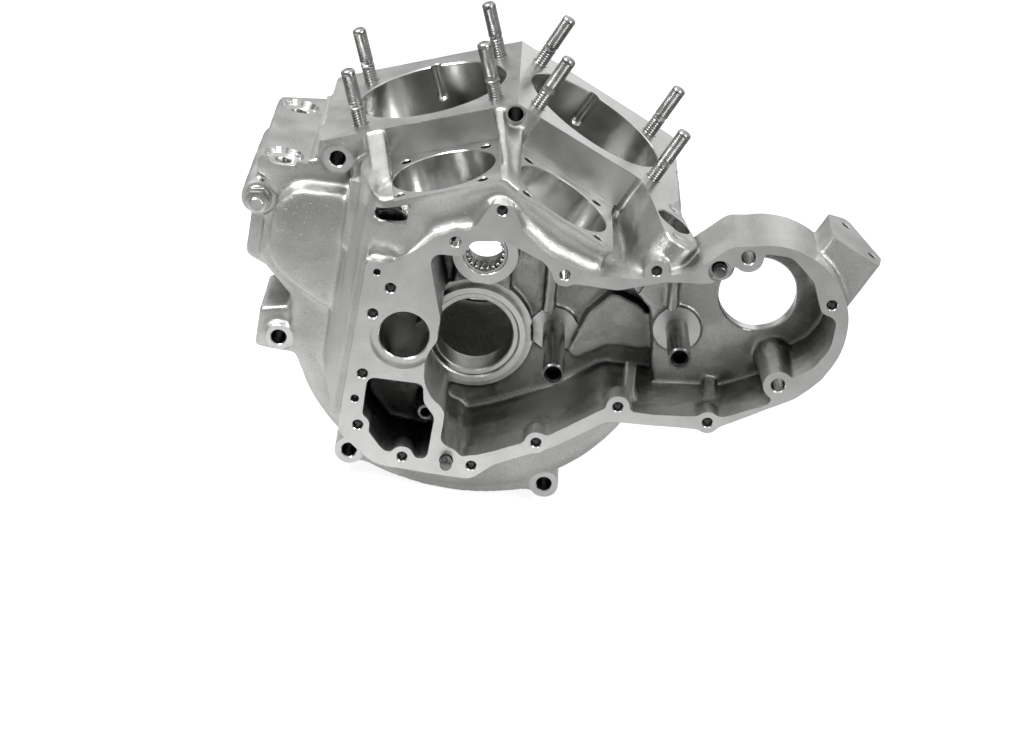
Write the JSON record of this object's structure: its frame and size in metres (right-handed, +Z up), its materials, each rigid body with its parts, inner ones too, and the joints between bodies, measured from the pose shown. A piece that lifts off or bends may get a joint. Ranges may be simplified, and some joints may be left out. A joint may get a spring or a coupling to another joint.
{
  "type": "engine crankcase",
  "caption": "Split cast crankcase of a V-twin engine with two studded cylinder decks, an open gear chest and a generator loop.",
  "frame": {"origin": "on the crankshaft axis, in the joint plane between the two halves", "axes": "+Y along the crankshaft towards the left half, +Z up along the middle of the V, +X to the front with the generator loop"},
  "size_m": [0.4102, 0.237, 0.3157],
  "materials": {
    "cast_aluminium": "satin cast skin with machined faces",
    "stud_steel": "turned",
    "shaft_steel": "ground",
    "bearing_steel": "ground, hardened",
    "zinc_steel": "zinc plated"
  },
  "bodies": {
    "root": {"cam_bearing_needles": "bearing_steel", "cam_bearing_shell": "bearing_steel", "case_dowel_front": "shaft_steel", "case_dowel_rear": "shaft_steel", "clamp_bolt": "zinc_steel", "clamp_bolt_nut": "zinc_steel", "clamp_bolt_washer": "zinc_steel", "cover_dowel_lower": "shaft_steel", "cover_dowel_upper": "shaft_steel", "front_stud_1": "stud_steel", "front_stud_2": "stud_steel", "front_stud_3": "stud_steel", "front_stud_4": "stud_steel", "idler_shaft_front": "shaft_steel", "idler_shaft_rear": "shaft_steel", "left_bearing_race_inner": "bearing_steel", "left_bearing_race_outer": "bearing_steel", "left_case": "cast_aluminium", "pinion_bearing_race": "bearing_steel", "race_spacer": "bearing_steel", "rear_stud_1": "stud_steel", "rear_stud_2": "stud_steel", "rear_stud_3": "stud_steel", "rear_stud_4": "stud_steel", "right_case": "cast_aluminium"}
  },
  "joints": []
}
